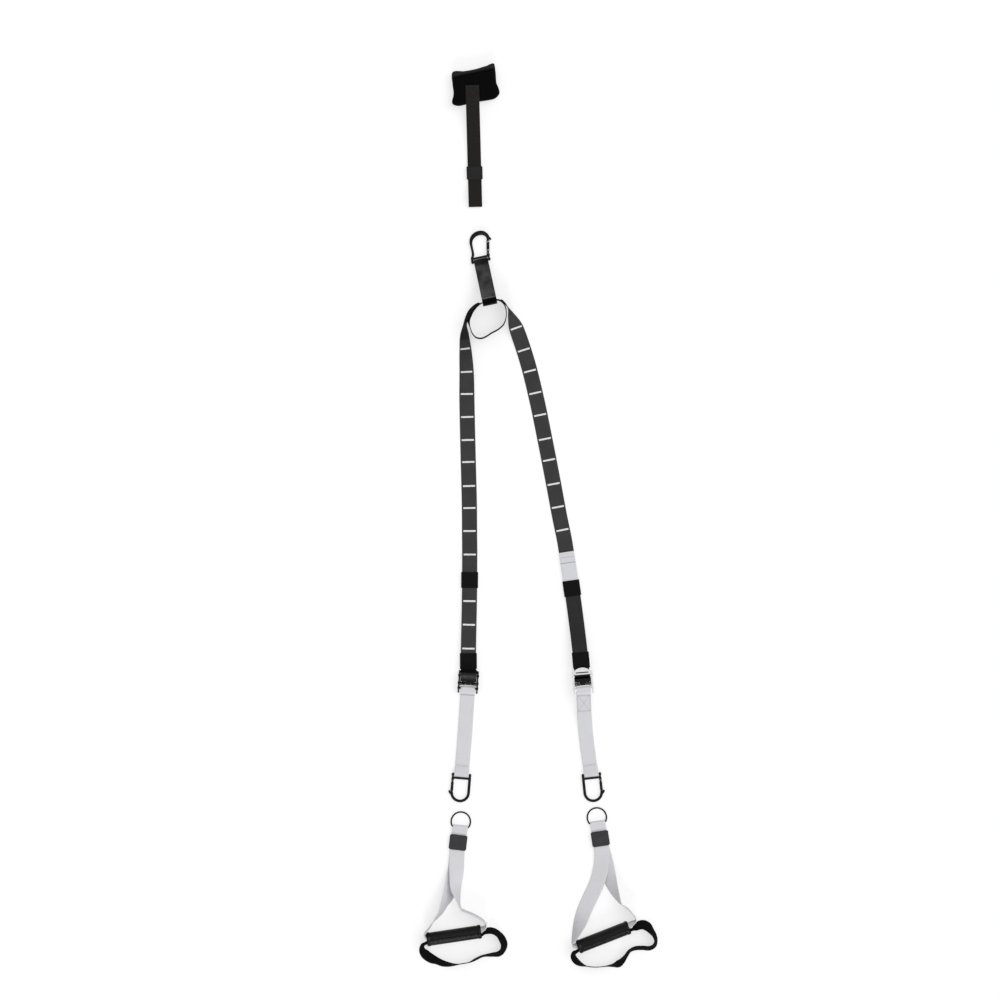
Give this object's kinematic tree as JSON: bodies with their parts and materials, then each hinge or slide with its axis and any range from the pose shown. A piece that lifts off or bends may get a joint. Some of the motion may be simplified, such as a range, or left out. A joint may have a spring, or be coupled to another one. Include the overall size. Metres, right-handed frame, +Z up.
{
  "type": "suspension trainer",
  "caption": "Strap trainer laid flat: door anchor, carabiner, webbing ring, long straps with cam buckles and snap hooks, and unclipped handles with grips and foot loops.",
  "frame": {"origin": "under the middle of the laid-out object, on the floor", "axes": "+Y toward the door anchor, +Z up from the floor"},
  "size_m": [0.5966, 2.2592, 0.043],
  "materials": {
    "dark_webbing": "woven, matt",
    "black_webbing": "woven, matt",
    "light_webbing": "woven, matt",
    "elastic": "woven elastic",
    "sleeve": "woven label cloth",
    "foam_cover": "cloth over foam",
    "rubber_grip": "moulded, matt",
    "grip_plastic": "moulded",
    "black_hardware": "black coated steel",
    "bright_hardware": "plated steel",
    "steel_pin": "plain steel"
  },
  "bodies": {
    "main_strap": {"anchor_strap": "dark_webbing", "equalizer_ring": "dark_webbing", "left_leg_strap": "dark_webbing", "left_tail_tab": "light_webbing", "left_buckle_shell": "black_hardware", "left_pinch_bar": "black_hardware", "left_cam_axle": "black_hardware", "left_strap_bar": "black_hardware", "left_cam_spring": "black_hardware", "left_lower_strap": "light_webbing", "right_leg_strap": "dark_webbing", "right_tail_tab": "light_webbing", "right_buckle_shell": "bright_hardware", "right_pinch_bar": "bright_hardware", "right_cam_axle": "bright_hardware", "right_strap_bar": "bright_hardware", "right_cam_spring": "black_hardware", "right_lower_strap": "light_webbing"},
    "door_anchor": {"door_pad": "foam_cover", "door_strap": "black_webbing", "door_sleeve": "sleeve"},
    "carabiner": {"carabiner_body": "black_hardware", "carabiner_gate_pin": "steel_pin", "carabiner_strap_pin": "black_hardware"},
    "carabiner_gate": {"carabiner_gate": "black_hardware"},
    "left_upper_keeper": {"left_upper_keeper": "elastic"},
    "left_lower_keeper": {"left_lower_keeper": "elastic"},
    "left_lever": {"left_cam_lever": "black_hardware"},
    "left_hook": {"left_hook_body": "black_hardware", "left_hook_gate_pin": "steel_pin", "left_hook_strap_pin": "black_hardware"},
    "left_hook_gate": {"left_hook_gate": "black_hardware"},
    "left_handle": {"left_handle_webbing": "light_webbing", "left_handle_sleeve": "sleeve", "left_foot_loop": "black_webbing"},
    "left_d_ring": {"left_d_ring": "black_hardware"},
    "left_grip": {"left_grip_core": "grip_plastic", "left_grip_sleeve": "rubber_grip"},
    "right_upper_keeper": {"right_upper_keeper": "elastic"},
    "right_lower_keeper": {"right_lower_keeper": "elastic"},
    "right_lever": {"right_cam_lever": "bright_hardware"},
    "right_hook": {"right_hook_body": "black_hardware", "right_hook_gate_pin": "steel_pin", "right_hook_strap_pin": "black_hardware"},
    "right_hook_gate": {"right_hook_gate": "black_hardware"},
    "right_handle": {"right_handle_webbing": "light_webbing", "right_handle_sleeve": "sleeve", "right_foot_loop": "black_webbing"},
    "right_d_ring": {"right_d_ring": "black_hardware"},
    "right_grip": {"right_grip_core": "grip_plastic", "right_grip_sleeve": "rubber_grip"}
  },
  "joints": [
    {"name": "carabiner_swing", "type": "hinge", "parent": "main_strap", "child": "carabiner", "pos_m": [-0.14364, 0.63687, 0.0048], "axis": [0.9781, 0.2079, 0], "range_deg": [0, 90]},
    {"name": "carabiner_gate_hinge", "type": "hinge", "parent": "carabiner", "child": "carabiner_gate", "pos_m": [-0.12581, 0.65497, 0.00488], "axis": [0.0012, -0.0055, 1], "range_deg": [0, 26], "stiffness_Nm_per_rad": 0.02, "springref_deg": -22.92},
    {"name": "left_upper_keeper_slide", "type": "slide", "parent": "main_strap", "child": "left_upper_keeper", "axis": [0.007, 1, 0], "range_m": [-0.025, 0.025]},
    {"name": "left_lower_keeper_slide", "type": "slide", "parent": "main_strap", "child": "left_lower_keeper", "axis": [-0.0074, 1, 0], "range_m": [0, 0.012]},
    {"name": "left_lever_press", "type": "hinge", "parent": "main_strap", "child": "left_lever", "pos_m": [-0.17527, -0.41876, 0.0094], "axis": [-0.9978, 0.0663, 0], "range_deg": [0, 14], "stiffness_Nm_per_rad": 0.03, "springref_deg": -28.65, "deforming": ["left_cam_spring"]},
    {"name": "left_hook_swing", "type": "hinge", "parent": "main_strap", "child": "left_hook", "pos_m": [-0.19204, -0.6484, 0.0048], "axis": [-0.9968, 0.0802, 0], "range_deg": [0, 95]},
    {"name": "left_hook_gate_hinge", "type": "hinge", "parent": "left_hook", "child": "left_hook_gate", "pos_m": [-0.2143, -0.66065, 0.00446], "axis": [-0.002, -0.0245, 0.9997], "range_deg": [0, 26], "stiffness_Nm_per_rad": 0.012, "springref_deg": -22.92},
    {"name": "left_handle_apart", "type": "slide", "parent": "main_strap", "child": "left_handle", "axis": [0, -1, 0], "range_m": [0, 0.2]},
    {"name": "left_d_ring_swing", "type": "hinge", "parent": "left_handle", "child": "left_d_ring", "pos_m": [-0.19484, -0.7774, 0.0043], "axis": [0.9962, -0.0872, 0], "range_deg": [0, 120]},
    {"name": "left_grip_spin", "type": "hinge", "parent": "left_handle", "child": "left_grip", "pos_m": [-0.2106, -1.04745, 0.0176], "axis": [0.989, 0.1478, 0], "continuous": true},
    {"name": "right_upper_keeper_slide", "type": "slide", "parent": "main_strap", "child": "right_upper_keeper", "axis": [-0.1418, 0.9899, 0], "range_m": [-0.025, 0.025]},
    {"name": "right_lower_keeper_slide", "type": "slide", "parent": "main_strap", "child": "right_lower_keeper", "axis": [-0.0908, 0.9959, 0], "range_m": [0, 0.012]},
    {"name": "right_lever_press", "type": "hinge", "parent": "main_strap", "child": "right_lever", "pos_m": [0.11096, -0.41873, 0.01732], "axis": [0.9965, 0.0837, 0], "range_deg": [0, 14], "stiffness_Nm_per_rad": 0.03, "springref_deg": -28.65, "deforming": ["right_cam_spring"]},
    {"name": "right_hook_swing", "type": "hinge", "parent": "main_strap", "child": "right_hook", "pos_m": [0.13249, -0.64797, 0.0048], "axis": [-0.9945, -0.1045, 0], "range_deg": [0, 95]},
    {"name": "right_hook_gate_hinge", "type": "hinge", "parent": "right_hook", "child": "right_hook_gate", "pos_m": [0.15504, -0.65968, 0.00446], "axis": [-0.0026, 0.0244, -0.9997], "range_deg": [0, 26], "stiffness_Nm_per_rad": 0.012, "springref_deg": -22.92},
    {"name": "right_handle_apart", "type": "slide", "parent": "main_strap", "child": "right_handle", "axis": [0, -1, 0], "range_m": [0, 0.2]},
    {"name": "right_d_ring_swing", "type": "hinge", "parent": "right_handle", "child": "right_d_ring", "pos_m": [0.14795, -0.76698, 0.0043], "axis": [0.9903, 0.1392, 0], "range_deg": [0, 120]},
    {"name": "right_grip_spin", "type": "hinge", "parent": "right_handle", "child": "right_grip", "pos_m": [0.16216, -1.05132, 0.0176], "axis": [0.9317, 0.3633, 0], "continuous": true},
    {"name": "door_anchor_apart", "type": "slide", "parent": "main_strap", "child": "door_anchor", "axis": [0, 1, 0], "range_m": [0, 0.2]}
  ]
}
